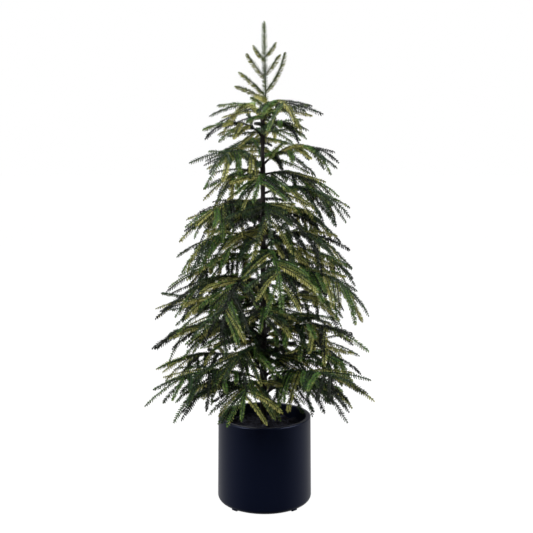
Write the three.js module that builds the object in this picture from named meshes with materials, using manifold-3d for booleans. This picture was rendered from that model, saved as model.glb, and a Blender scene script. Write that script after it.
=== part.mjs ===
// Artificial Norfolk Island pine in a plain cylindrical pot.
// Millimetres, +Z up. The origin is the centre of the pot's flat underside.

import * as THREE from 'three';
import { mergeVertices } from 'three/addons/utils/BufferGeometryUtils.js';
import Module from 'manifold-3d';

const wasm = await Module();
wasm.setup();

const gap = 0.3;                     // air between neighbouring pieces
const weld = 0.01;                   // edges shorter than this are tidied away after a join

const pot = {
  height: 221,
  rimRadius: 118.2,
  baseRadius: 120.5,
  wall: 12,
  floor: 12,
  bottomRound: 13,
  rimRound: 3,
  sides: 32,
  padLength: 20,
  padWidth: 17,
  padHeight: 9,
  padReach: 118,                     // outer end of each foot pad, from the pot's axis
  padTurns: [50, 130, 230, 310],
};

const fill = {
  level: 189,                        // about 30 mm under the rim
  mound: 9,                          // rise of the filling round the trunk
  lump: 3.5,
  ripple: 2.1,
  waves: [13, 11, 8],                // lengths of the lumps' waves
  rings: 4,
  sides: 20,
};

const trunk = {
  foot: 120,                         // flat lower end, sunk in the filling
  top: 978,                          // flat cut beside the leader's stem
  footRadius: 9.6,
  topRadius: 4.8,
  footX: -2,
  topX: -4.5,
  sides: 12,
};

// One row for each whorl of boughs, lowest first: height on the trunk, how many boughs,
// heading of the first, length along the bough, slope at the trunk and slope at the tip.
const whorls = [
  { height: 266, count: 4, turn: -19, length: 272, rise: 43, fall: -58 },
  { height: 325, count: 4, turn: -45, length: 332, rise: 25, fall: -14 },
  { height: 368, count: 4, turn: 88, length: 303, rise: 44, fall: -62 },
  { height: 432, count: 4, turn: -37, length: 299, rise: 32, fall: -14 },
  { height: 487, count: 4, turn: -73, length: 262, rise: 46, fall: -52 },
  { height: 562, count: 4, turn: -121, length: 326, rise: 49, fall: -61 },
  { height: 616, count: 3, turn: 35, length: 298, rise: 27, fall: -48 },
  { height: 645, count: 3, turn: 92, length: 277, rise: 54, fall: -62 },
  { height: 717, count: 3, turn: 28, length: 273, rise: 40, fall: -62 },
  { height: 766, count: 3, turn: 228, length: 263, rise: 20, fall: -49 },
  { height: 810, count: 3, turn: 19, length: 209, rise: 20, fall: -62 },
  { height: 844, count: 3, turn: -12, length: 230, rise: 55, fall: -43 },
  { height: 918, count: 3, turn: 193, length: 160, rise: 51, fall: -62 },
  { height: 968, count: 2, turn: 103, length: 220, rise: 56, fall: -62 },
];

// How the fronds of a whorl differ from its row, as ranges that chance picks from.
const seed = 113;
const differ = {
  heading: [-14, 14],
  rise: [-10, 10],
  fall: [-20, 20],
  length: [0.86, 1.08],
  turn: [-16, 16],
  height: [-24, 24],
  topHeight: [-18, 4],               // the top whorl stays under the trunk's cut
};

// How side sprays leave a frond: in pairs along its stem, shorter towards the tip.
const side = {
  bare: 0.1,                         // share of the frond next to the trunk that has none
  tail: 78,                          // end of the frond that has none
  spacing: 20,                       // from one pair to the next
  most: 11,                          // pairs on one frond
  stagger: 0.24,                     // how much later the second spray of a pair leaves
  squeeze: 0.6,                      // the last pair stands this much nearer the tail
  furthest: 0.85,
  length: 68,
  growth: 0.17,                      // more length for each millimetre of the whorl's fronds
  shrink: 0.09,
  follow: 0.62,                      // how much of the frond's own slope a spray takes on
  steepest: -64,
  spread: [42, 62],
  vary: [0.8, 1.12],
  lift: [-40, 6],
  drop: [16, 24],
  curl: [-8, 22],
};

const bough = {
  whorls: 2,                         // only the lowest whorls have bare limbs of their own
  length: 58,
  clear: 6,                          // bare stem between a bough's tip and the first spray
  rootRadius: 3.6,
  tipRadius: 2.6,
  sides: 6,
};

const spray = {
  stem: 2.1,                         // radius of a frond's core, larger than life
  core: 1.8,                         // and of a side spray's
  tipCore: 1.1,
  reach: 8,                          // how far the needles stand out of the stem
  tipReach: 3.2,
  tooth: 75,                         // one tooth stands for this length of needles
  lean: 0.7,                         // how far forward a tooth's point lies in its own length
  valley: 0.95,                      // and the foot of the next tooth
  sides: 3,
  step: 3,                           // every third pair has sprays this thick, which stand for all
};

// The upright top shoot and its side sprays: height, heading, length and slopes.
const leader = {
  foot: new THREE.Vector3(4.4, -4.5, 940),
  top: new THREE.Vector3(0, 0, 1200),
  bare: 60,
  sprays: [
    { height: 1119, heading: 34, length: 45, rise: 44, fall: 54 },
    { height: 1110, heading: 146, length: 49, rise: 44, fall: 52 },
    { height: 1076, heading: -26, length: 58, rise: 46, fall: 54 },
    { height: 1067, heading: 212, length: 75, rise: 44, fall: 50 },
    { height: 1036, heading: 24, length: 108, rise: 45, fall: 78 },
    { height: 1024, heading: 156, length: 92, rise: 48, fall: 34 },
    { height: 1009, heading: 206, length: 89, rise: 42, fall: 8 },
  ],
};

// Chance: a number from 0 to 1 that depends on the seed and the keys alone.
function chance(...keys) {
  let hash = seed;
  for (const key of keys) {
    hash = Math.imul(hash ^ (key + 0x9e3779b9), 0x85ebca6b);
    hash ^= hash >>> 13;
    hash = Math.imul(hash, 0xc2b2ae35);
    hash ^= hash >>> 16;
  }
  return (hash >>> 0) / 2 ** 32;
}

function mix(from, to, share) {
  return from + (to - from) * share;
}

function pick([low, high], ...keys) {
  return mix(low, high, chance(...keys));
}

function radians(degrees) {
  return degrees * Math.PI / 180;
}

// A closed three.js geometry as a solid: only positions kept, no flat slivers at the poles.
function solidOf(geometry) {
  const bare = new THREE.BufferGeometry();
  bare.setAttribute('position', geometry.getAttribute('position'));
  bare.setIndex(geometry.getIndex());
  const merged = mergeVertices(bare, 1e-4);
  const corners = merged.getIndex().array;
  const kept = [];
  for (let i = 0; i < corners.length; i += 3) {
    const [a, b, c] = [corners[i], corners[i + 1], corners[i + 2]];
    if (a !== b && b !== c && c !== a) {
      kept.push(a, b, c);
    }
  }
  const vertProperties = new Float32Array(merged.getAttribute('position').array);
  const triVerts = new Uint32Array(kept);
  return new wasm.Manifold(new wasm.Mesh({ numProp: 3, vertProperties, triVerts }));
}

function geometryOf(solid) {
  const mesh = solid.getMesh();
  const geometry = new THREE.BufferGeometry();
  geometry.setAttribute('position', new THREE.BufferAttribute(new Float32Array(mesh.vertProperties), 3));
  geometry.setIndex(new THREE.BufferAttribute(new Uint32Array(mesh.triVerts), 1));
  geometry.computeVertexNormals();
  return geometry;
}

// A turned solid that stands on the XY plane, from a profile of [radius, height] pairs.
function turned(profile, sides, roll = 0) {
  const points = profile.map(([radius, height]) => new THREE.Vector2(radius, height));
  const geometry = new THREE.LatheGeometry(points, sides, roll);
  geometry.rotateX(Math.PI / 2);
  return geometry;
}

// The points of a quarter round between two directions, given in degrees from +radius to +height.
function quarter(radius, height, size, from, to, steps) {
  const points = [];
  for (let i = 0; i <= steps; i += 1) {
    const angle = radians(mix(from, to, i / steps));
    points.push([radius + size * Math.cos(angle), height + size * Math.sin(angle)]);
  }
  return points;
}

// A limb's course: it leaves `start` and turns evenly from one heading and slope to another.
class Course {
  constructor(start, heading, turn, rise, fall, length) {
    this.start = start;
    this.heading = heading;
    this.turn = turn;
    this.rise = rise;
    this.fall = fall;
    this.length = length;
    this.steps = 24;
    this.points = [start.clone()];
    for (let i = 0; i < this.steps; i += 1) {
      const step = this.direction((i + 0.5) / this.steps).multiplyScalar(length / this.steps);
      this.points.push(this.points[i].clone().add(step));
    }
  }

  headingAt(share) {
    return this.heading + this.turn * share;
  }

  slopeAt(share) {
    return mix(this.rise, this.fall, share);
  }

  direction(share) {
    const heading = radians(this.headingAt(share));
    const slope = radians(this.slopeAt(share));
    const level = Math.cos(slope);
    return new THREE.Vector3(level * Math.cos(heading), level * Math.sin(heading), Math.sin(slope));
  }

  point(share) {
    const place = share * this.steps;
    const i = Math.max(0, Math.min(Math.floor(place), this.steps - 1));
    return this.points[i].clone().lerp(this.points[i + 1], place - i);
  }
}

// Bends an upright turned solid along a course: its height becomes the length along the course.
function bent(geometry, course) {
  const position = geometry.getAttribute('position');
  for (let i = 0; i < position.count; i += 1) {
    const [x, y, z] = [position.getX(i), position.getY(i), position.getZ(i)];
    const share = z / course.length;
    const heading = radians(course.headingAt(share));
    const left = new THREE.Vector3(-Math.sin(heading), Math.cos(heading), 0);
    const lift = course.direction(share).cross(left);
    const moved = course.point(share).addScaledVector(left, x).addScaledVector(lift, y);
    position.setXYZ(i, moved.x, moved.y, moved.z);
  }
  return geometry;
}

// A slim core that toothed rings of needles stand out of. It starts at the length `from` along
// the course, has no needles for the length `bare`, and ends at the course's end.
function needled(course, from, bare, core, roll = 0) {
  const foot = from + bare;
  const teeth = Math.max(2, Math.round((course.length - foot) / spray.tooth));
  const pitch = (course.length - foot) / teeth;
  const profile = [[0, from], [core, from]];
  if (bare > 0) {
    profile.push([core, foot]);
  }
  for (let i = 0; i < teeth; i += 1) {
    const share = (i + spray.lean) / teeth;
    profile.push([mix(spray.reach, spray.tipReach, share * share), foot + pitch * (i + spray.lean)]);
    if (i < teeth - 1) {
      profile.push([mix(core, spray.tipCore, share), foot + pitch * (i + spray.valley)]);
    }
  }
  profile.push([0, course.length]);
  return solidOf(bent(turned(profile, spray.sides, roll), course));
}

function trunkShare(height) {
  return (height - trunk.foot) / (trunk.top - trunk.foot);
}

function trunkX(height) {
  return mix(trunk.footX, trunk.topX, trunkShare(height));
}

function trunkRadius(height) {
  return mix(trunk.footRadius, trunk.topRadius, trunkShare(height));
}

// The trunk's shape between two heights, thicker by `spare` all round.
function trunkShape(spare, foot, top) {
  const profile = [
    [0, foot],
    [trunkRadius(foot) + spare, foot],
    [trunkRadius(top) + spare, top],
    [0, top],
  ];
  const geometry = turned(profile, trunk.sides);
  const position = geometry.getAttribute('position');
  for (let i = 0; i < position.count; i += 1) {
    position.setX(i, position.getX(i) + trunkX(position.getZ(i)));
  }
  return solidOf(geometry);
}

function makePot() {
  const inner = pot.rimRadius - pot.wall;
  const rimHeight = pot.height - pot.rimRound;
  const profile = [
    [0, 0],
    ...quarter(pot.baseRadius - pot.bottomRound, pot.bottomRound, pot.bottomRound, -90, 0, 4),
    ...quarter(pot.rimRadius - pot.rimRound, rimHeight, pot.rimRound, 0, 90, 2),
    ...quarter(inner + pot.rimRound, rimHeight, pot.rimRound, 90, 180, 2),
    [inner, pot.floor],
    [0, pot.floor],
  ];
  let solid = solidOf(turned(profile, pot.sides));
  for (const turn of pot.padTurns) {
    const pad = new THREE.BoxGeometry(pot.padLength, pot.padWidth, pot.padHeight);
    pad.translate(pot.padReach - pot.padLength / 2, 0, pot.padHeight / 2);
    pad.rotateZ(radians(turn));
    solid = solid.add(solidOf(pad));
  }
  return solid;
}

function lumpAt(x, y) {
  const [long, middle, short] = fill.waves;
  return fill.lump * Math.sin(x / long + 1) * Math.cos(y / middle) + fill.ripple * Math.sin((x - y) / short);
}

// The filling: a lumpy bed round the trunk, with a socket that the trunk stands in.
function makeFilling(trunkSpace) {
  const radius = pot.rimRadius - pot.wall - 2 * gap;
  const profile = [[0, pot.floor + gap], [radius, pot.floor + gap]];
  for (let ring = 0; ring <= fill.rings; ring += 1) {
    const share = ring / fill.rings;
    profile.push([radius * (1 - share), fill.level + fill.mound * share * share]);
  }
  const geometry = turned(profile, fill.sides);
  const position = geometry.getAttribute('position');
  for (let i = 0; i < position.count; i += 1) {
    const [x, y, z] = [position.getX(i), position.getY(i), position.getZ(i)];
    if (z >= fill.level) {
      position.setZ(i, z + lumpAt(x, y));
    }
  }
  return solidOf(geometry).subtract(trunkSpace);
}

// The course of one bough with its frond, by the seeded rule.
function frondCourse(w, b) {
  const whorl = whorls[w];
  const isTop = w === whorls.length - 1;
  const heading = whorl.turn + 360 * b / whorl.count + pick(differ.heading, w, b, 1);
  const rise = whorl.rise + pick(differ.rise, w, b, 2);
  const fall = whorl.fall + pick(differ.fall, w, b, 3);
  const length = whorl.length * pick(differ.length, w, b, 4);
  const turn = pick(differ.turn, w, b, 5);
  const height = whorl.height + pick(isTop ? differ.topHeight : differ.height, w, b, 6);
  const start = new THREE.Vector3(trunkX(height), 0, height);
  return new Course(start, heading, turn, rise, fall, length);
}

// The length of a frond, from the trunk, that has no side sprays.
function bareLength(w) {
  return w < bough.whorls ? bough.length + bough.clear : side.bare * whorls[w].length;
}

// The courses of a frond's side sprays, as a list of pairs.
function sideCourses(stem, w, b) {
  const bare = bareLength(w);
  const room = (whorls[w].length - side.tail - bare) / side.spacing;
  const pairs = Math.min(Math.round(room) + 1, side.most);
  const longest = side.length + side.growth * whorls[w].length;
  const courses = [];
  for (let pair = 0; pair < pairs; pair += 1) {
    courses.push([0, 1].map((hand) => {
      const place = mix(bare, stem.length - side.tail, (pair + side.stagger * hand) / (pairs - side.squeeze));
      const share = Math.min(place / stem.length, side.furthest);
      const keys = [w, b, 10 + pair, hand * 2];
      const sign = hand * 2 - 1;
      const heading = stem.headingAt(share) + sign * pick(side.spread, ...keys, 1);
      const length = longest * (1 - side.shrink * pair / pairs) * pick(side.vary, ...keys, 2);
      const rise = stem.slopeAt(share) * side.follow + pick(side.lift, ...keys, 3);
      const fall = Math.max(rise - pick(side.drop, ...keys, 4), side.steepest);
      const turn = -sign * pick(side.curl, ...keys, 5);
      return new Course(stem.point(share), heading, turn, rise, fall, length);
    }));
  }
  return courses;
}

function boxesMeet(a, b) {
  return [0, 1, 2].every((axis) => a.min[axis] < b.max[axis] + gap && b.min[axis] < a.max[axis] + gap);
}

// True when the piece keeps its gap to each of the other solids.
function isClear(piece, others) {
  const box = piece.boundingBox();
  return others.every((other) => !boxesMeet(box, other.boundingBox()) || piece.minGap(other, gap) > 0.99 * gap);
}

function makeBough(stem, trunkSpace) {
  const profile = [[0, 0], [bough.rootRadius, 0]];
  for (const share of [1 / 3, 2 / 3, 1]) {
    profile.push([mix(bough.rootRadius, bough.tipRadius, share), bough.length * share]);
  }
  profile.push([0, bough.length]);
  return solidOf(bent(turned(profile, bough.sides), stem)).subtract(trunkSpace);
}

// The stems of all fronds: a bough carries one 0.3 mm off its tip, the others meet the trunk.
function makeFrondStems(trunkSpace) {
  const fronds = [];
  whorls.forEach((whorl, w) => {
    for (let b = 0; b < whorl.count; b += 1) {
      const stem = frondCourse(w, b);
      const label = `${w + 1}_${b + 1}`;
      if (w < bough.whorls) {
        const solid = needled(stem, bough.length + gap, 0, spray.stem);
        fronds.push({ label, w, b, stem, solid, limb: makeBough(stem, trunkSpace) });
      } else {
        const solid = needled(stem, 0, bareLength(w), spray.stem).subtract(trunkSpace);
        fronds.push({ label, w, b, stem, solid });
      }
    }
  });
  return fronds;
}

// The leader: a stem upright beside the trunk's cut top, with its own side sprays.
function makeLeader() {
  const rod = leader.top.clone().sub(leader.foot);
  const slope = THREE.MathUtils.radToDeg(rod.angleTo(new THREE.Vector3(rod.x, rod.y, 0)));
  const heading = THREE.MathUtils.radToDeg(Math.atan2(rod.y, rod.x));
  const stem = new Course(leader.foot, heading, 0, slope, slope, rod.length());
  let solid = needled(stem, 0, leader.bare, spray.core);
  leader.sprays.forEach(({ height, heading: away, length, rise, fall }, i) => {
    const root = stem.point((height - leader.foot.z) / rod.z);
    const course = new Course(root, away, 0, rise, fall, length);
    solid = solid.add(needled(course, 0, 0, spray.core, Math.PI * chance(whorls.length, i)));
  });
  return solid.simplify(weld);
}

// Adds a frond's side sprays, each only where it keeps clear of every other node.
function addSprays(frond, others) {
  sideCourses(frond.stem, frond.w, frond.b).forEach((courses, pair) => {
    if (pair % spray.step === 0) {
      courses.forEach((course, hand) => {
        const roll = Math.PI * chance(frond.w, frond.b, pair, hand);
        const twig = needled(course, 0, 0, spray.core, roll);
        if (isClear(twig, others)) {
          frond.solid = frond.solid.add(twig);
        }
      });
    }
  });
  frond.solid = frond.solid.simplify(weld);
}

function makeMesh(name, solid, material, origin = new THREE.Vector3(), heading = 0) {
  const local = solid.translate([-origin.x, -origin.y, -origin.z]).rotate([0, 0, -heading]);
  const mesh = new THREE.Mesh(geometryOf(local), material);
  mesh.name = name;
  mesh.position.copy(origin);
  mesh.rotation.z = radians(heading);
  return mesh;
}

const finish = {
  pot: new THREE.MeshStandardMaterial({ color: '#0b0f1c', roughness: 0.42, metalness: 0 }),
  fill: new THREE.MeshStandardMaterial({ color: '#14151a', roughness: 0.95, metalness: 0 }),
  trunk: new THREE.MeshStandardMaterial({ color: '#1b1415', roughness: 0.7, metalness: 0 }),
  bough: new THREE.MeshStandardMaterial({ color: '#231c16', roughness: 0.75, metalness: 0 }),
  needles: new THREE.MeshStandardMaterial({ color: '#2f5226', roughness: 0.6, metalness: 0 }),
};
for (const material of Object.values(finish)) {
  material.flatShading = true;
}

const trunkSpace = trunkShape(gap, trunk.foot - gap, trunk.top + gap);
const trunkSolid = trunkShape(0, trunk.foot, trunk.top);
const potSolid = makePot();
const fillingSolid = makeFilling(trunkSpace);
const leaderSolid = makeLeader();
const fronds = makeFrondStems(trunkSpace);
const limbs = fronds.filter((frond) => frond.limb);

for (const frond of fronds) {
  addSprays(frond, [
    potSolid,
    fillingSolid,
    trunkSolid,
    leaderSolid,
    ...limbs.map((other) => other.limb),
    ...fronds.filter((other) => other !== frond).map((other) => other.solid),
  ]);
}

const plant = new THREE.Group();
plant.add(makeMesh('trunk', trunkSolid, finish.trunk));
for (const { label, stem, limb } of limbs) {
  plant.add(makeMesh(`bough_${label}`, limb, finish.bough, stem.start, stem.heading));
}
for (const { label, stem, solid } of fronds) {
  plant.add(makeMesh(`foliage_${label}`, solid, finish.needles, stem.start, stem.heading));
}
plant.add(makeMesh('foliage_leader', leaderSolid, finish.needles));

const whole = new THREE.Group();
whole.add(makeMesh('pot', potSolid, finish.pot));
whole.add(makeMesh('pot_filling', fillingSolid, finish.fill));
whole.add(plant);

export default whole;
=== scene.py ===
import math

import bpy
import numpy as np
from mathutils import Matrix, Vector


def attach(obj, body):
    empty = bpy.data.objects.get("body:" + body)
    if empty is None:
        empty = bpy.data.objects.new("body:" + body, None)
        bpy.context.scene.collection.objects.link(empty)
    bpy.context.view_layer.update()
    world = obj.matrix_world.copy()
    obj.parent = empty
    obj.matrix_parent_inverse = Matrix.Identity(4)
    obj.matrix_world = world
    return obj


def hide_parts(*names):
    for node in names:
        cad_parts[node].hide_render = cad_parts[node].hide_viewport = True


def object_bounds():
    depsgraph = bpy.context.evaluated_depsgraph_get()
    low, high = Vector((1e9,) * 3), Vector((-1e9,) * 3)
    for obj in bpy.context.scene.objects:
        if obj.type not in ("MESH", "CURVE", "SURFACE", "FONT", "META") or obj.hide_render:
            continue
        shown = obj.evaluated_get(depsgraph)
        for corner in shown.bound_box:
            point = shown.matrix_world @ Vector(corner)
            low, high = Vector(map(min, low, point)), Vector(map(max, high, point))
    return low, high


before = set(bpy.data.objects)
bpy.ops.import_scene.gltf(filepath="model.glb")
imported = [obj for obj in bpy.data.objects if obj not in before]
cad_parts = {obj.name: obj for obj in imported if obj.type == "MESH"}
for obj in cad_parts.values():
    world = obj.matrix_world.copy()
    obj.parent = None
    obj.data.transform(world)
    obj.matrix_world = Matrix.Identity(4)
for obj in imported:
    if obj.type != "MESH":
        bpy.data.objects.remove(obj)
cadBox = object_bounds()
mm = 0.001  # the tree and the pot are given in millimetres, the studio in metres, angles in degrees
scatter = np.random.default_rng(21)  # small irregularities, always dealt in the same order
print("frame loaded:", len(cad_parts), "nodes")


def linearColor(hexCode):
    # an sRGB hex value as the linear colour that Blender's sockets want
    channels = [int(hexCode[i:i + 2], 16) / 255 for i in (1, 3, 5)]
    return tuple([c / 12.92 if c <= 0.04045 else ((c + 0.055) / 1.055) ** 2.4 for c in channels] + [1.0])


def addNode(tree, kind, settings=None, links=None):
    # a setting is an input socket where the node has one of that name, and else a property
    node = tree.nodes.new(kind)
    for name, value in (settings or {}).items():
        if name in node.inputs:
            node.inputs[name].default_value = value
        else:
            setattr(node, name, value)
    for name, source in (links or {}).items():
        tree.links.new(source, node.inputs[name])
    return node


def patternScale(size):
    # a pattern's scale from the real size of its grain in millimetres
    return 1 / (size * mm)


def setStops(ramp, piece):
    # the two colours of a ramp, from a piece's settings
    for stop, position, hexCode in zip(ramp.color_ramp.elements, piece["stops"], piece["colors"]):
        stop.position, stop.color = position, linearColor(hexCode)


def newFinish(name, settings):
    material = bpy.data.materials.new(name)
    material.use_nodes = True
    tree = material.node_tree
    tree.nodes.clear()
    shader = addNode(tree, "ShaderNodeBsdfPrincipled", settings)
    addNode(tree, "ShaderNodeOutputMaterial", links={"Surface": shader.outputs["BSDF"]})
    return material, tree, shader


def meshPiece(name, points, triangles, finish, replaced, smooth=False):
    mesh = bpy.data.meshes.new(name)
    mesh.vertices.add(len(points))
    mesh.vertices.foreach_set("co", np.ascontiguousarray(points * mm, np.float32).ravel())
    mesh.loops.add(triangles.size)
    mesh.loops.foreach_set("vertex_index", np.ascontiguousarray(triangles, np.int32).ravel())
    mesh.polygons.add(len(triangles))
    mesh.polygons.foreach_set("loop_start", np.arange(0, triangles.size, 3, dtype=np.int32))
    mesh.update(calc_edges=True)
    mesh.polygons.foreach_set("use_smooth", np.full(len(triangles), smooth))
    mesh.materials.append(finish)
    piece = bpy.data.objects.new(name, mesh)
    bpy.context.scene.collection.objects.link(piece)
    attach(piece, "root")
    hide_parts(*replaced)
    return piece


def joinArrays(parts):
    # several (points, triangles) pairs as one
    points, triangles, start = [], [], 0
    for partPoints, partTriangles in parts:
        points.append(partPoints)
        triangles.append(partTriangles + start)
        start += len(partPoints)
    return np.concatenate(points), np.concatenate(triangles)


def tubeTriangles(rings, sides):
    # a closed tube: rings of points, then one point at the middle of each end
    row = np.arange(rings - 1)[:, None] * sides
    column = np.arange(sides)
    following = (column + 1) % sides
    a, b = row + column, row + following
    c, d = b + sides, a + sides
    wall = np.stack([a, b, c, a, c, d], -1).reshape(-1, 3)
    last = (rings - 1) * sides
    foot = np.stack([following, column, np.full(sides, rings * sides)], -1)
    top = np.stack([last + column, last + following, np.full(sides, rings * sides + 1)], -1)
    return np.concatenate([wall, foot, top])


# how the tree grows: the same seeded rule as in the source of the part

trunk = {"foot": 120, "top": 978, "footRadius": 9.6, "topRadius": 4.8, "footX": -2, "topX": -4.5}

# height, boughs, heading of the first, length, slope at the trunk, slope at the tip
whorls = (
    (266, 4, -19, 272, 43, -58),
    (325, 4, -45, 332, 25, -14),
    (368, 4, 88, 303, 44, -62),
    (432, 4, -37, 299, 32, -14),
    (487, 4, -73, 262, 46, -52),
    (562, 4, -121, 326, 49, -61),
    (616, 3, 35, 298, 27, -48),
    (645, 3, 92, 277, 54, -62),
    (717, 3, 28, 273, 40, -62),
    (766, 3, 228, 263, 20, -49),
    (810, 3, 19, 209, 20, -62),
    (844, 3, -12, 230, 55, -43),
    (918, 3, 193, 160, 51, -62),
    (968, 2, 103, 220, 56, -62),
)

seed = 113
draws = {"spray": 10, "hasFiner": 40, "finer": 70, "tint": 501, "size": 502}  # keys of the seeded choices

# each bough's own differences from its whorl
differ = {
    "heading": (-14, 14), "rise": (-10, 10), "fall": (-20, 20), "length": (0.86, 1.08), "turn": (-16, 16),
    "height": (-24, 24), "topHeight": (-18, 4),
}

# the pairs of side sprays along a frond
side = {
    "bare": 0.1,  # share of a frond's length before the first pair
    "boughBare": 64, "boughWhorls": 2,  # that stretch in the lowest whorls, and how many these are
    "tail": 78, "spacing": 20, "most": 11,  # way from the last pair to the tip, between pairs, and pairs
    "stagger": 0.24,  # of a pair's two sprays, as a share of the way between pairs
    "squeeze": 0.6, "furthest": 0.85,  # draws the pairs to the tip, but no further than this share
    "length": 68, "growth": 0.17,  # of a spray, and what each mm of its whorl's length adds
    "shrink": 0.09,  # share by which sprays are shorter at the tip
    "follow": 0.62, "steepest": -64,  # share of the frond's slope that a spray takes, and its limit
    # heading off the frond, share of the length, slope on top of the frond's, bend down, bend back inwards
    "spread": (42, 62), "vary": (0.8, 1.12), "lift": (-40, 6), "drop": (16, 24), "curl": (-8, 22),
}

# more and shorter sprays that some of the gaps between pairs hold
finer = {"share": 0.12, "place": 0.5, "length": 0.7}

# the upright top shoot, and its side sprays: height, heading, length, slopes
leader = {
    "foot": (4.4, -4.5, 940), "top": (0, 0, 1200), "bare": 60,
    "sprays": (
        (1119, 34, 45, 44, 54),
        (1110, 146, 49, 44, 52),
        (1076, -26, 58, 46, 54),
        (1067, 212, 75, 44, 50),
        (1036, 24, 108, 45, 78),
        (1024, 156, 92, 48, 34),
        (1009, 206, 89, 42, 8),
    ),
}


def chance(*keys):
    # a number from 0 to 1 that depends on the seed and the keys alone: large odd factors stir the bits
    full = 0xFFFFFFFF
    code = seed
    for key in keys:
        code = ((code ^ ((key + 0x9E3779B9) & full)) * 0x85EBCA6B) & full
        code ^= code >> 13
        code = (code * 0xC2B2AE35) & full
        code ^= code >> 16
    return code / 2 ** 32


def mix(start, end, share):
    return start + (end - start) * share


def pick(limits, *keys):
    return mix(*limits, chance(*keys))


class Course:
    # a limb's way: it leaves `start` and turns evenly from one heading and slope to another
    steps = 24

    def __init__(self, start, heading, turn, rise, fall, length):
        self.heading, self.turn, self.rise, self.fall, self.length = heading, turn, rise, fall, length
        middles = (np.arange(self.steps) + 0.5) / self.steps
        strides = self.direction(middles) * (length / self.steps)
        self.points = np.concatenate([[start], start + np.cumsum(strides, 0)])

    def direction(self, share):
        heading = np.radians(self.heading + self.turn * share)
        slope = np.radians(mix(self.rise, self.fall, share))
        level = np.cos(slope)
        return np.stack([level * np.cos(heading), level * np.sin(heading), np.sin(slope)], -1)

    def left(self, share):
        heading = np.radians(self.heading + self.turn * share)
        return np.stack([-np.sin(heading), np.cos(heading), 0 * heading], -1)

    def point(self, share):
        place = np.asarray(share) * self.steps
        i = np.clip(np.floor(place).astype(int), 0, self.steps - 1)
        part = (place - i)[..., None]
        return mix(self.points[i], self.points[i + 1], part)


def trunkShare(height):
    return (height - trunk["foot"]) / (trunk["top"] - trunk["foot"])


def trunkX(height):
    return mix(trunk["footX"], trunk["topX"], trunkShare(height))


def trunkRadius(height):
    return mix(trunk["footRadius"], trunk["topRadius"], trunkShare(height))


def frondCourse(w, b):
    height, count, heading, length, rise, fall = whorls[w]
    isTop = w == len(whorls) - 1
    heading += 360 * b / count + pick(differ["heading"], w, b, 1)
    rise += pick(differ["rise"], w, b, 2)
    fall += pick(differ["fall"], w, b, 3)
    length *= pick(differ["length"], w, b, 4)
    turn = pick(differ["turn"], w, b, 5)
    height += pick(differ["topHeight" if isTop else "height"], w, b, 6)
    return Course(np.array([trunkX(height), 0, height]), heading, turn, rise, fall, length)


def bareLength(w):
    return side["boughBare"] if w < side["boughWhorls"] else side["bare"] * whorls[w][3]


def sideCourses(stem, w, b):
    bare, length = bareLength(w), whorls[w][3]
    pairs = min(math.floor((length - side["tail"] - bare) / side["spacing"] + 0.5) + 1, side["most"])
    longest = side["length"] + side["growth"] * length
    courses = []
    for pair in range(pairs):
        for hand in (0, 1):
            sprigs = [(pair + side["stagger"] * hand, draws["spray"] + pair, 1)]
            if chance(w, b, draws["hasFiner"] + pair, hand) < finer["share"]:
                sprigs.append((sprigs[0][0] + finer["place"], draws["finer"] + pair, finer["length"]))
            for place, key, size in sprigs:
                along = place / (pairs - side["squeeze"])
                share = min(mix(bare, stem.length - side["tail"], along) / stem.length, side["furthest"])
                keys = (w, b, key, hand * 2)
                sign = hand * 2 - 1
                heading = stem.heading + stem.turn * share + sign * pick(side["spread"], *keys, 1)
                own = longest * (1 - side["shrink"] * pair / pairs) * pick(side["vary"], *keys, 2) * size
                rise = mix(stem.rise, stem.fall, share) * side["follow"] + pick(side["lift"], *keys, 3)
                fall = max(rise - pick(side["drop"], *keys, 4), side["steepest"])
                turn = -sign * pick(side["curl"], *keys, 5)
                courses.append(Course(stem.point(share), heading, turn, rise, fall, own))
    return courses


# how far a spray's stem may reach out of the box of the solids, and the share that each cut leaves
trim = {"overhang": 4, "cut": 0.95}


def fitted(course):
    lowest, highest = np.array(cadBox) / mm
    length = course.length
    while max(np.max(lowest - course.points), np.max(course.points - highest)) > trim["overhang"]:
        length *= trim["cut"]
        course = Course(course.points[0], course.heading, course.turn, course.rise, course.fall, length)
    return course


def growTree():
    # every stem: its course, the share of it at which its needles start, and its kind
    stems = []
    for w, whorl in enumerate(whorls):
        for b in range(whorl[1]):
            stem = frondCourse(w, b)
            stems.append((stem, bareLength(w) / stem.length, "frond"))
            stems += [(fitted(course), 0.0, "spray") for course in sideCourses(stem, w, b)]
    foot, top = np.array(leader["foot"], float), np.array(leader["top"], float)
    rod = top - foot
    length = float(np.linalg.norm(rod))
    slope = math.degrees(math.asin(rod[2] / length))
    stem = Course(foot, math.degrees(math.atan2(rod[1], rod[0])), 0, slope, slope, length)
    stems.append((stem, leader["bare"] / length, "leader"))
    for height, heading, own, rise, fall in leader["sprays"]:
        start = stem.point((height - foot[2]) / rod[2])
        stems.append((Course(start, heading, 0, rise, fall, own), 0.0, "leaderSpray"))
    return stems


stems = growTree()
foliageNodes = sorted(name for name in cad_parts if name.startswith("foliage_"))
boughNodes = sorted(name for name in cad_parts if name.startswith("bough_"))
print("grown:", len(stems), "stems,", round(sum(stem[0].length for stem in stems) * mm, 1), "m")


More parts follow.
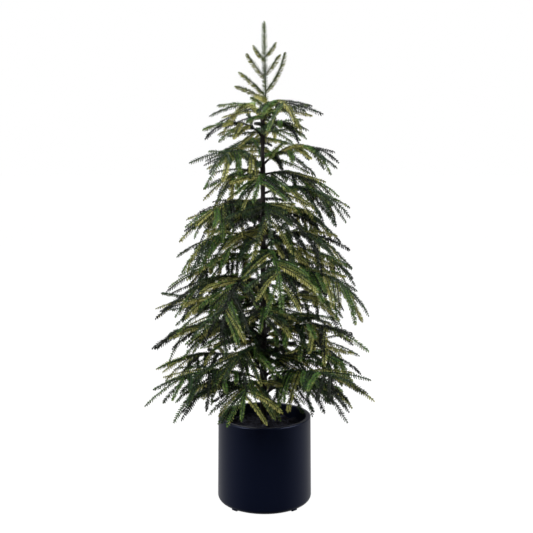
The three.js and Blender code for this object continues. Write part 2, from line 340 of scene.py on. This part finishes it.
needles = {
    "step": 5.6, "leaderStep": 4.6,  # from one ring of needles to the next, and on the leader
    "fewest": 3,  # rings on the shortest spray
    "place": (0.4, 0.6),  # of a ring within its step
    "rows": (-114, -72, -34, 0, 38, 142, 180, 214),  # degrees round the stem, with a parting on top
    "stray": 7,  # degrees that a needle may stand off its row
    "width": 1.95,  # of a needle of 10 mm, about twice the real width, so that needles show
    "slimness": (0.6, 0.04),  # share of that width for no length, and what each mm adds to it
    "shoulders": (0.15, 0.8),  # shares of its length between which a needle has its full width
    "crease": 0.45,  # how far a needle's edges hang below its keel, as a share of its half width
    "roll": (25, 65),  # turn of a blade about its own length, to either hand
    "lengths": ((0, 5.6), (8, 8.6), (20, 9.4)),  # way to the spray's tip, and length there
    "rootLengths": ((0, 0.7), (14, 1.0)),  # way from the spray's root, times the length
    "sizes": (0.82, 1.18), "leaderSize": 1.2,  # times the length, by spray, and on the leader
    "vary": (0.88, 1.12),  # times the length, by needle
    "leans": ((0, 14), (8, 40), (22, 52), (70, 58)),  # way to the spray's tip, degrees off the stem
    "wobble": 5,  # degrees that a needle's lean may differ
    "topLength": 0.72, "lowLength": 1.1,  # times the length, above and below the stem
    "innerFrom": 0.35,  # share of a frond's bare stretch that stays bare
    "innerStep": 9, "innerLength": 0.55,  # sparser and shorter on the rest of it
    # the pale lower needles carry painted light: a glow of light shining through them
    "underside": -0.25,  # needles whose way out of the stem points lower than this are the pale ones
    "perPiece": 49000,  # at most, which keeps a piece under 200,000 triangles
}

tints = {
    # name, colour of the upper needles, colour of the lower ones; the lower ones are paler and yellower as
    # painted light, a glow of light shining through the needles, on top of their two-tone moulding
    "colors": (
        # near black: painted shade for the sprays that lie in the shade of the crown
        ("darkGreen", "#0c110b", "#1c2015"),
        ("deepGreen", "#22391f", "#424d2b"),
        ("leafGreen", "#48682e", "#6e7c42"),
        # yellow olive: the needles' own olive, made lighter as painted light for the sprays that catch the
        # light
        ("olive", "#7c8042", "#aaa661"),
        ("shootGreen", "#495726", "#7b7d40"),  # the leader's, and that of a few strays in olive sprays
    ),
    # heading of a spray, and the shares of the first four among the sprays that head that way: painted
    # light and shade, with greener sprays in front and more of the olive tint as painted light and of the
    # near-black one as painted shade round the back
    "shares": (
        (-90, (0.2, 0.4, 0.3, 0.1)),
        (180, (0.26, 0.24, 0.2, 0.3)),
        (30, (0.32, 0.22, 0.18, 0.28)),
    ),
    "sharpness": 3,  # how quickly one heading's shares give way to the next one's
    # painted light from above: the upper crown takes fewer near-black and more green and olive tints, so
    # it looks more lit
    "litFromAboveShares": (0.14, 0.24, 0.32, 0.3),  # the same in the upper crown, whichever way a spray heads
    "litFromAboveHeights": (700, 950),  # between which those shares take over
    "stray": 0.08,  # share of a spray's needles that take the next darker or lighter tint
}


def makeNeedleFinish(name, hexCode):
    # moulded polyethylene: soft, with a low waxy gleam that runs along the upper sides of a spray
    return newFinish(name, {
        "Base Color": linearColor(hexCode), "Roughness": 0.5, "IOR": 1.51, "Specular IOR Level": 0.2,
    })[0]


def ringNeedles(course, shares, start, lengthScale):
    # needles in rings at the given shares of a stem: roots, directions, ways out and lengths
    rows = np.array(needles["rows"], float)
    count, perRing = len(shares), len(rows)
    along, left = course.direction(shares), course.left(shares)
    lift = np.cross(along, left)
    angle = rows + scatter.uniform(-needles["stray"], needles["stray"], (count, perRing))
    angle = np.radians(angle)[..., None]
    outward = np.cos(angle) * left[:, None] + np.sin(angle) * lift[:, None]
    toTip, fromRoot = (1 - shares) * course.length, (shares - start) * course.length
    wobble = scatter.uniform(-needles["wobble"], needles["wobble"], (count, perRing))
    lean = np.interp(toTip, *zip(*needles["leans"]))[:, None]
    lean = np.radians(lean + wobble)[..., None]
    direction = np.cos(lean) * along[:, None] + np.sin(lean) * outward
    length = np.interp(toTip, *zip(*needles["lengths"]))
    length = length * np.interp(fromRoot, *zip(*needles["rootLengths"]))
    length = length[:, None] * lengthScale
    length = length * mix(needles["lowLength"], needles["topLength"], (np.sin(angle[..., 0]) + 1) / 2)
    length = length * scatter.uniform(*needles["vary"], (count, perRing))
    root = np.repeat(course.point(shares)[:, None], perRing, 1)
    return [values.reshape(-1, 3) for values in (root, direction, outward)] + [length.ravel()]


def stemNeedles(course, start, kind, size, step):
    count = max(needles["fewest"], round(course.length * (1 - start) / step))
    own = (np.arange(count) + scatter.uniform(*needles["place"], count)) / count
    groups = [ringNeedles(course, start + (1 - start) * own, start, size)]
    if kind == "frond":
        inner = np.arange(start * needles["innerFrom"], start, needles["innerStep"] / course.length)
        groups.append(ringNeedles(course, inner, 0, needles["innerLength"]))
    return [np.concatenate(column) for column in zip(*groups)]


def needleMesh(root, direction, outward, length):
    # each needle is a slim blade of four faces, creased along its keel
    across = np.cross(direction, outward)
    across /= np.linalg.norm(across, axis=1)[:, None]
    keel = np.cross(across, direction)
    roll = scatter.uniform(*needles["roll"], len(root)) * scatter.choice((-1, 1), len(root))
    roll = np.radians(roll)[:, None]
    flat = across * np.cos(roll) + keel * np.sin(roll)
    top = keel * np.cos(roll) - across * np.sin(roll)
    slimmest, broaden = needles["slimness"]
    half = (needles["width"] / 2 * (slimmest + broaden * length))[:, None]
    reach = direction * length[:, None]
    low, high = [root + reach * share - top * half * needles["crease"] for share in needles["shoulders"]]
    edge = flat * half
    points = np.stack([root, low + edge, high + edge, root + reach, high - edge, low - edge], 1)
    shape = np.array([[0, 1, 2], [0, 2, 3], [0, 3, 4], [0, 4, 5]])
    triangles = (np.arange(len(root)) * 6)[:, None, None] + shape
    return points.reshape(-1, 3), triangles.reshape(-1, 3)


def tintOf(course, kind, i):
    # the tints are dealt out by spray, with painted light and shade by heading: greener ones in front,
    # more olive ones as painted light and more dark ones as painted shade round the back
    if kind.startswith("leader"):
        return len(tints["colors"]) - 1
    headings, rows = zip(*tints["shares"])
    weights = (1 + np.cos(np.radians(course.heading - np.array(headings)))) ** tints["sharpness"]
    shares = weights @ np.array(rows) / weights.sum()
    # painted light from above: higher sprays take the lighter upper-crown shares
    litFromAbove = np.interp(course.points[0][2], tints["litFromAboveHeights"], (0, 1))
    shares = np.cumsum(mix(shares, np.array(tints["litFromAboveShares"]), litFromAbove))
    return min(int(np.searchsorted(shares, chance(draws["tint"], i))), len(shares) - 1)


def makeNeedles():
    batches, stemTints = [], []
    for i, (course, start, kind) in enumerate(stems):
        isLeader = kind.startswith("leader")
        size = needles["leaderSize"] if isLeader else pick(needles["sizes"], draws["size"], i)
        step = needles["leaderStep" if isLeader else "step"]
        batches.append(stemNeedles(course, start, kind, size, step))
        stemTints.append(tintOf(course, kind, i))
    columns = [np.concatenate(column) for column in zip(*batches)]
    tint = np.repeat(stemTints, [len(batch[3]) for batch in batches])
    stray = scatter.random(len(tint))
    tint = tint + (stray < tints["stray"] / 2) - (stray > 1 - tints["stray"] / 2)
    tint = np.clip(tint, 0, len(tints["colors"]) - 1)
    # the lower needles take the paler colour: painted light for the glow through the needles, on top of
    # the two-tone moulding
    isLower = columns[2][:, 2] < needles["underside"]
    for i, (name, upper, lower) in enumerate(tints["colors"]):
        for part, hexCode, isPart in (("Tops", upper, ~isLower), ("GlowUndersides", lower, isLower)):
            finish = makeNeedleFinish(name + "Polyethylene" + part, hexCode)
            rows = np.flatnonzero(isPart & (tint == i))
            for k, own in enumerate(np.array_split(rows, math.ceil(len(rows) / needles["perPiece"]))):
                points, triangles = needleMesh(*[column[own] for column in columns])
                pieceName = f"needles_{name}{part}_{k + 1}"
                meshPiece(pieceName, points, triangles, finish, foliageNodes)
            print(name + part, len(rows), "needles")


makeNeedles()


def tubeArrays(course, start, end, radius, rings, sides, relief=None):
    # radius is a function of the share, and relief of the length along the course and the angle round it
    share = np.linspace(start, end, rings)
    angle = np.linspace(0, 2 * math.pi, sides, endpoint=False)
    size = np.repeat(radius(share)[:, None], sides, 1)
    if relief is not None:
        size = size + relief(share[:, None] * course.length, angle)
    left, along = course.left(share), course.direction(share)
    lift = np.cross(along, left)
    outward = np.cos(angle)[:, None] * left[:, None] + np.sin(angle)[:, None] * lift[:, None]
    centre = course.point(share)
    points = (centre[:, None] + outward * size[..., None]).reshape(-1, 3)
    return np.concatenate([points, centre[:1], centre[-1:]]), tubeTriangles(rings, sides)


def tapeRelief(run, angle, pitch, edge):
    # tape wound in a helix: each turn rises evenly and drops at its edge
    turn = run / pitch + angle / (2 * math.pi)
    return edge * (turn - np.floor(turn))


twig = {
    "radii": {"frond": 2.3, "spray": 1.7, "leader": 1.8, "leaderSpray": 1.4},
    "tipShare": 0.5,  # of the radius that is left at the tip
    "lap": 0.98, "end": 0.985,  # it starts a little before the needles do, and ends inside the last ring
    "rings": 12, "sides": 5,
    # near black: the wire's green, darkened as painted shade for the shadow among the needle roots
    "color": "#161f12",
}


def makeTwigs():
    # the green wire that the needles are moulded on, which shows as a dark line along each spray; its
    # near-black green is partly painted shade, for the shadow among the needle roots along the wire
    finish = newFinish("greenPolyethyleneStem", {
        "Base Color": linearColor(twig["color"]), "Roughness": 0.6, "Specular IOR Level": 0.3,
    })[0]
    parts = []
    for course, start, kind in stems:
        def radius(share, thickness=twig["radii"][kind], start=start):
            return thickness * mix(1, twig["tipShare"], (share - start) / (1 - start))

        begin, end = start * twig["lap"], twig["end"]
        parts.append(tubeArrays(course, begin, end, radius, twig["rings"], twig["sides"]))
    points, triangles = joinArrays(parts)
    meshPiece("twigs", points, triangles, finish, foliageNodes, smooth=True)
    print("twigs", len(triangles), "triangles")


makeTwigs()


tape = {
    "crinkle": 3, "crinkleDepth": 0.4,  # drawn coarser than the real 1 mm, which is too fine to show
    "blotch": 17,  # one width of tape, now darker and now browner
    "colors": ("#0d0a0b", "#221a19"), "stops": (0.3, 0.75),
}


def makeTapeFinish():
    # waxed crepe tape: a dull, nearly black brown with a faint sheen where its crinkles catch the light
    material, tree, shader = newFinish("waxedCrepeTape", {"Roughness": 0.6, "Specular IOR Level": 0.25})
    place = addNode(tree, "ShaderNodeTexCoord").outputs["Object"]
    crinkle = addNode(tree, "ShaderNodeTexNoise", {"Scale": patternScale(tape["crinkle"]), "Detail": 3.0},
                      {"Vector": place})
    blotch = addNode(tree, "ShaderNodeTexNoise", {"Scale": patternScale(tape["blotch"]), "Detail": 2.0},
                     {"Vector": place})
    ramp = addNode(tree, "ShaderNodeValToRGB", links={"Fac": blotch.outputs["Fac"]})
    setStops(ramp, tape)
    tree.links.new(ramp.outputs["Color"], shader.inputs["Base Color"])
    bump = addNode(tree, "ShaderNodeBump", {"Strength": 0.5, "Distance": tape["crinkleDepth"] * mm},
                   {"Height": crinkle.outputs["Fac"]})
    tree.links.new(bump.outputs["Normal"], shader.inputs["Normal"])
    return material


tapeFinish = makeTapeFinish()

wrap = {
    "inset": 0.6,  # of the tape's thinnest place under the trunk's own surface
    "pitch": 13, "edge": 0.4,  # of the tape's turns
    "knot": 1.3, "knotLength": 13,  # extra turns that tie a whorl's boughs on
    "waver": 0.2, "waverRun": 17,  # slow unevenness, and a finer one
    "pucker": 0.12, "puckerRun": 3.1,
    "rings": 620, "sides": 34,
}


def makeTrunk():
    drift = trunk["topX"] - trunk["footX"]
    height = trunk["top"] - trunk["foot"]
    slope = math.degrees(math.atan2(height, drift))
    foot = np.array([trunk["footX"], 0.0, trunk["foot"]])
    course = Course(foot, 0, 0, slope, slope, math.hypot(height, drift))

    def radius(share):
        at = mix(trunk["foot"], trunk["top"], share)
        knots = sum(np.exp(-((at - whorl[0]) / wrap["knotLength"]) ** 2) for whorl in whorls)
        return trunkRadius(at) - wrap["inset"] + wrap["knot"] * np.clip(knots, 0, 1)

    def relief(run, angle):
        slow = wrap["waver"] * np.sin(run / wrap["waverRun"] + 3 * np.sin(angle))
        fine = wrap["pucker"] * np.sin(run / wrap["puckerRun"] + 2 * angle)
        return tapeRelief(run, angle, wrap["pitch"], wrap["edge"]) + (slow + fine)

    points, triangles = tubeArrays(course, 0, 1, radius, wrap["rings"], wrap["sides"], relief)
    meshPiece("trunk_taped", points, triangles, tapeFinish, ["trunk"], smooth=True)
    print("trunk", len(triangles), "triangles")


makeTrunk()

limb = {
    "rootRadius": 3.3, "tipRadius": 2.1,
    "sunk": 1.5,  # into the trunk
    "pitch": 7, "edge": 0.25,  # of its tape's turns
    "rings": 40, "sides": 10,
}


def makeBoughs():
    # the bare inner stretch of every bough, taped like the trunk
    parts = []
    for course, start, kind in stems:
        if kind == "frond":
            reach = trunkRadius(course.points[0][2]) - limb["sunk"]
            begin = reach / (course.length * math.cos(math.radians(course.rise)))

            def radius(share, begin=begin, start=start):
                return mix(limb["rootRadius"], limb["tipRadius"], (share - begin) / (start - begin))

            def relief(run, angle):
                return tapeRelief(run, angle, limb["pitch"], limb["edge"])

            parts.append(tubeArrays(course, begin, start, radius, limb["rings"], limb["sides"], relief))
    points, triangles = joinArrays(parts)
    meshPiece("boughs_taped", points, triangles, tapeFinish, boughNodes, smooth=True)
    print("boughs", len(triangles), "triangles")


makeBoughs()


pot = {
    "height": 221, "rimRadius": 118.2, "baseRadius": 120.5, "wall": 12, "floor": 12,
    "bottomRound": 13, "rimRound": 3,
    "bottomRing": 60, "innerRing": 50, "innerBend": 150,  # one more ring on each flat and one inside
    "segments": 180, "wallSteps": 8, "bottomSteps": 12, "rimSteps": 6,
    "crease": 50,  # degrees between faces from which an edge is shaded sharp
    "padLength": 20, "padWidth": 17, "padHeight": 9, "padReach": 118, "padTurns": (50, 130, 230, 310),
    "padRound": 2, "padRoundSteps": 4,
    "grain": 1.5, "grainDepth": 0.2,  # drawn coarser than the mould's own, so that it softens the gleam
    "cloud": 80, "roughness": (0.3, 0.38),  # which changes slowly over the wall
    "color": "#0a0f20", "gleam": "#c8d4ff",  # of the plastic, and of what its skin mirrors
}


def quarter(radius, height, size, start, end, steps):
    angle = np.radians(np.linspace(start, end, steps + 1))
    return np.stack([radius + size * np.cos(angle), height + size * np.sin(angle)], -1)


def latheArrays(profile, segments):
    # profile runs from the axis round the outside back to the axis
    inner = profile[1:-1]
    angle = np.linspace(0, 2 * math.pi, segments, endpoint=False)
    across = inner[:, :1]
    heights = np.repeat(inner[:, 1:], segments, 1)
    rows = np.stack([across * np.cos(angle), across * np.sin(angle), heights], -1)
    ends = [[0, 0, profile[0][1]], [0, 0, profile[-1][1]]]
    return np.concatenate([rows.reshape(-1, 3), ends]), tubeTriangles(len(inner), segments)


def makePotFinish():
    # injection-moulded polypropylene with a satin skin: nearly black navy that lights up only at its sides
    material, tree, shader = newFinish("satinPolypropylene", {
        "Base Color": linearColor(pot["color"]), "IOR": 1.49, "Specular Tint": linearColor(pot["gleam"]),
    })
    place = addNode(tree, "ShaderNodeTexCoord").outputs["Object"]
    skin = addNode(tree, "ShaderNodeTexNoise", {"Scale": patternScale(pot["grain"]), "Detail": 2.0},
                   {"Vector": place})
    cloud = addNode(tree, "ShaderNodeTexNoise", {"Scale": patternScale(pot["cloud"]), "Detail": 3.0},
                    {"Vector": place})
    smoothest, dullest = pot["roughness"]
    rough = addNode(tree, "ShaderNodeMapRange", {"To Min": smoothest, "To Max": dullest},
                    {"Value": cloud.outputs["Fac"]})
    tree.links.new(rough.outputs["Result"], shader.inputs["Roughness"])
    bump = addNode(tree, "ShaderNodeBump", {"Strength": 0.12, "Distance": pot["grainDepth"] * mm},
                   {"Height": skin.outputs["Fac"]})
    tree.links.new(bump.outputs["Normal"], shader.inputs["Normal"])
    return material


def makePad(turn, finish):
    bpy.ops.mesh.primitive_cube_add(size=1)
    pad = bpy.context.active_object
    pad.name = f"pot_pad_{turn}"
    pad.scale = (pot["padLength"] * mm, pot["padWidth"] * mm, pot["padHeight"] * mm)
    bpy.ops.object.transform_apply(location=False, rotation=False, scale=True)
    middle = (pot["padReach"] - pot["padLength"] / 2) * mm
    angle = math.radians(turn)
    pad.location = (middle * math.cos(angle), middle * math.sin(angle), pot["padHeight"] / 2 * mm)
    pad.rotation_euler[2] = angle
    bevel = pad.modifiers.new("softEdge", "BEVEL")
    bevel.width, bevel.segments = pot["padRound"] * mm, pot["padRoundSteps"]
    pad.data.materials.append(finish)
    pad.data.polygons.foreach_set("use_smooth", [True] * len(pad.data.polygons))
    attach(pad, "root")
    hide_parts("pot")


def makePot():
    inside = pot["rimRadius"] - pot["wall"]
    base, rim = pot["bottomRound"], pot["rimRound"]
    rimHeight = pot["height"] - rim
    heights = np.linspace(base, rimHeight, pot["wallSteps"] + 2)[1:-1]
    radii = mix(pot["baseRadius"], pot["rimRadius"], (heights - base) / (rimHeight - base))
    low, steps = pot["floor"], pot["rimSteps"]
    profile = np.concatenate([
        [[0, 0], [pot["bottomRing"], 0]],
        quarter(pot["baseRadius"] - base, base, base, -90, 0, pot["bottomSteps"]),
        np.stack([radii, heights], -1),
        quarter(pot["rimRadius"] - rim, rimHeight, rim, 0, 90, steps),
        quarter(inside + rim, rimHeight, rim, 90, 180, steps),
        [[inside, pot["innerBend"]], [inside, low], [pot["innerRing"], low], [0, low]],
    ])
    points, triangles = latheArrays(profile, pot["segments"])
    finish = makePotFinish()
    body = meshPiece("pot_body", points, triangles, finish, ["pot"], smooth=True)
    body.modifiers.new("evenShade", "EDGE_SPLIT").split_angle = math.radians(pot["crease"])
    for turn in pot["padTurns"]:
        makePad(turn, finish)
    print("pot", len(triangles), "triangles")


makePot()

filling = {
    "level": 189, "mound": 9,
    "lump": 3.5, "ripple": 2.1, "waves": (13, 11, 8),  # heights of the lumps, and lengths of their waves
    "fine": (0.4, 0.3), "fineWaves": ((3.7, 4.9), (2.9, 3.3)),
    "radius": pot["rimRadius"] - pot["wall"] - 0.6,  # just clear of the pot's wall
    "underside": pot["floor"] + 0.3,
    "rings": 70, "segments": 150,
    "shreds": 5200, "shredLength": (2.2, 6.5), "shredWidth": 0.14,  # width as a share of the length
    "shredBend": (0.1, 0.08, -0.12),  # of its two edges and its end, as shares of the length
    "shredReach": (0.01, 0.97),  # share of the bed's area out to a shred
    "shredLift": (-0.6, 0.8), "shredSlope": (-0.5, 0.6),  # over the bed, and the slope in radians
    "clump": 11,
    "fibre": 2, "fibreDepth": 1.2,  # drawn coarser than real fibres, which are too fine to show
    "colors": ("#19181f", "#484956"), "stops": (0.35, 0.8),
}


def fillingHeight(x, y):
    long, middle, short = filling["waves"]
    lump = filling["lump"] * np.sin(x / long + 1) * np.cos(y / middle)
    ripple = filling["ripple"] * np.sin((x - y) / short)
    (first, second), (third, fourth) = filling["fineWaves"]
    crumb, speck = filling["fine"]
    fine = crumb * np.sin(x / first + 2 * np.cos(y / second))
    fine = fine + speck * np.sin(y / third + 1.5 * np.sin(x / fourth))
    share = 1 - np.hypot(x, y) / filling["radius"]
    return filling["level"] + filling["mound"] * share ** 2 + (lump + ripple) + fine


def makeFillingFinish():
    # dyed dry moss: matt, almost black, with a cold grey bloom on its high spots
    material, tree, shader = newFinish("dyedDryMoss", {"Roughness": 0.9, "Specular IOR Level": 0.2})
    place = addNode(tree, "ShaderNodeTexCoord").outputs["Object"]
    clumps = addNode(tree, "ShaderNodeTexNoise", {"Scale": patternScale(filling["clump"]), "Detail": 4.0},
                     {"Vector": place})
    ramp = addNode(tree, "ShaderNodeValToRGB", links={"Fac": clumps.outputs["Fac"]})
    setStops(ramp, filling)
    tree.links.new(ramp.outputs["Color"], shader.inputs["Base Color"])
    fibre = addNode(tree, "ShaderNodeTexNoise", {"Scale": patternScale(filling["fibre"]), "Detail": 5.0},
                    {"Vector": place})
    bump = addNode(tree, "ShaderNodeBump", {"Strength": 0.8, "Distance": filling["fibreDepth"] * mm},
                   {"Height": fibre.outputs["Fac"]})
    tree.links.new(bump.outputs["Normal"], shader.inputs["Normal"])
    return material


def makeFillingBed(finish):
    radius, level, low = filling["radius"], filling["level"], filling["underside"]
    reach = radius * (1 - np.arange(filling["rings"]) / filling["rings"])
    top = np.stack([reach, np.full(len(reach), level)], -1)
    profile = np.concatenate([[[0, low], [radius, low]], top, [[0, level]]])
    points, triangles = latheArrays(profile, filling["segments"])
    isTop = points[:, 2] > low
    points[isTop, 2] = fillingHeight(points[isTop, 0], points[isTop, 1])
    meshPiece("filling_bed", points, triangles, finish, ["pot_filling"], smooth=True)


def makeShreds(finish):
    # loose shreds of moss that lie on the bed
    count = filling["shreds"]
    reach = np.sqrt(scatter.uniform(*filling["shredReach"], count)) * filling["radius"]
    angle = scatter.uniform(0, 2 * math.pi, count)
    x, y = reach * np.cos(angle), reach * np.sin(angle)
    height = fillingHeight(x, y) + scatter.uniform(*filling["shredLift"], count)
    centre = np.stack([x, y, height], -1)
    heading = scatter.uniform(0, 2 * math.pi, count)
    slope = scatter.uniform(*filling["shredSlope"], count)
    level = np.cos(slope)
    along = np.stack([level * np.cos(heading), level * np.sin(heading), np.sin(slope)], -1)
    across = np.stack([-np.sin(heading), np.cos(heading), 0 * heading], -1)
    normal = np.cross(along, across)
    size = scatter.uniform(*filling["shredLength"], count)[:, None]
    wide = across * size * filling["shredWidth"]
    leftBend, rightBend, endBend = [normal * size * share for share in filling["shredBend"]]
    half = along * size / 2
    corners = [centre - half, centre + wide + leftBend, centre - wide + rightBend, centre + half + endBend]
    points = np.stack(corners, 1).reshape(-1, 3)
    shape = np.array([[0, 1, 2], [1, 3, 2], [0, 3, 1], [0, 2, 3]])
    triangles = ((np.arange(count) * 4)[:, None, None] + shape).reshape(-1, 3)
    meshPiece("filling_shreds", points, triangles, finish, ["pot_filling"])


fillingFinish = makeFillingFinish()
makeFillingBed(fillingFinish)
makeShreds(fillingFinish)
print("filling laid")


studio = {
    "floorRadius": 30, "floorSides": 96,
    "floorColor": "#303030",  # so dark that the softboxes add little to the even glow
    "floorGlow": 0.98,
    "roomLight": (0.03, 0.55),  # in front of the plant and behind it
    "roomDepth": (-0.6, 1.0),  # from front to back, the stretch over which it changes
    "roomFill": 0.5,  # share of it that reaches matt surfaces
    # place, aim, width, height, watts
    "softboxes": (
        ((-2.1, -1.3, 2.2), (0, 0, 0.75), 1.2, 1.6, 125),
        ((2.1, -0.9, 2.2), (0, 0, 0.75), 1.2, 1.6, 108),
        ((0, 0.5, 3.2), (0, 0, 0.8), 1.4, 1.4, 110),
    ),
}

# the pitch is downwards, and the focal length and the sensor are in millimetres
lens = {"place": (0.0051, -2.2, 0.893), "pitch": 7.47, "focal": 59.65, "sensor": 36}


def makeFloor():
    # matt studio paper with an even white glow of its own, so that it meets the white background unseen
    sides, radius = studio["floorSides"], studio["floorRadius"]
    bpy.ops.mesh.primitive_circle_add(vertices=sides, radius=radius, fill_type="NGON")
    floor = bpy.context.active_object
    floor.name = "studio_floor"
    floor.data.materials.append(newFinish("whiteStudioPaper", {
        "Base Color": linearColor(studio["floorColor"]), "Roughness": 0.8, "Specular IOR Level": 0.1,
        "Emission Color": (1, 1, 1, 1), "Emission Strength": studio["floorGlow"],
    })[0])
    floor.visible_glossy = floor.visible_diffuse = False


def makeRoom():
    # a white backdrop behind the plant and a dim room in front of it, and plain white to the camera
    world = bpy.data.worlds.new("whiteRoom")
    bpy.context.scene.world = world
    world.use_nodes = True
    tree = world.node_tree
    tree.nodes.clear()
    way = addNode(tree, "ShaderNodeTexCoord").outputs["Generated"]
    depth = addNode(tree, "ShaderNodeSeparateXYZ", links={"Vector": way}).outputs["Y"]
    front, back = studio["roomLight"]
    near, far = studio["roomDepth"]
    glow = addNode(tree, "ShaderNodeMapRange",
                   {"From Min": near, "From Max": far, "To Min": front, "To Max": back},
                   {"Value": depth}).outputs["Result"]
    path = addNode(tree, "ShaderNodeLightPath").outputs
    fill = addNode(tree, "ShaderNodeMapRange", {"To Min": 1.0, "To Max": studio["roomFill"]},
                   {"Value": path["Is Diffuse Ray"]}).outputs["Result"]
    light = addNode(tree, "ShaderNodeMath", {"operation": "MULTIPLY"}).outputs["Value"]
    tree.links.new(glow, light.node.inputs[0])
    tree.links.new(fill, light.node.inputs[1])
    strength = addNode(tree, "ShaderNodeMapRange", {"To Max": 1.0},
                       {"Value": path["Is Camera Ray"], "To Min": light}).outputs["Result"]
    room = addNode(tree, "ShaderNodeBackground", {"Color": (1, 1, 1, 1)}, {"Strength": strength})
    addNode(tree, "ShaderNodeOutputWorld", links={"Surface": room.outputs["Background"]})


def turnTowards(thing, aim):
    away = type(thing.location)(aim) - thing.location
    thing.rotation_euler = away.to_track_quat("-Z", "Y").to_euler()


def makeLights():
    for i, (place, aim, width, height, watts) in enumerate(studio["softboxes"]):
        data = bpy.data.lights.new(f"softbox_{i + 1}", "AREA")
        data.shape, data.size, data.size_y, data.energy = "RECTANGLE", width, height, watts
        light = bpy.data.objects.new(data.name, data)
        bpy.context.scene.collection.objects.link(light)
        light.location = place
        turnTowards(light, aim)


def makeCamera():
    data = bpy.data.cameras.new("camera")
    data.sensor_width, data.lens = lens["sensor"], lens["focal"]
    camera = bpy.data.objects.new("camera", data)
    bpy.context.scene.collection.objects.link(camera)
    camera.location = lens["place"]
    camera.rotation_euler = (math.radians(90 - lens["pitch"]), 0, 0)
    bpy.context.scene.camera = camera


makeFloor()
makeRoom()
makeLights()
makeCamera()
bpy.context.scene.view_settings.view_transform = "Standard"
print("studio lit")
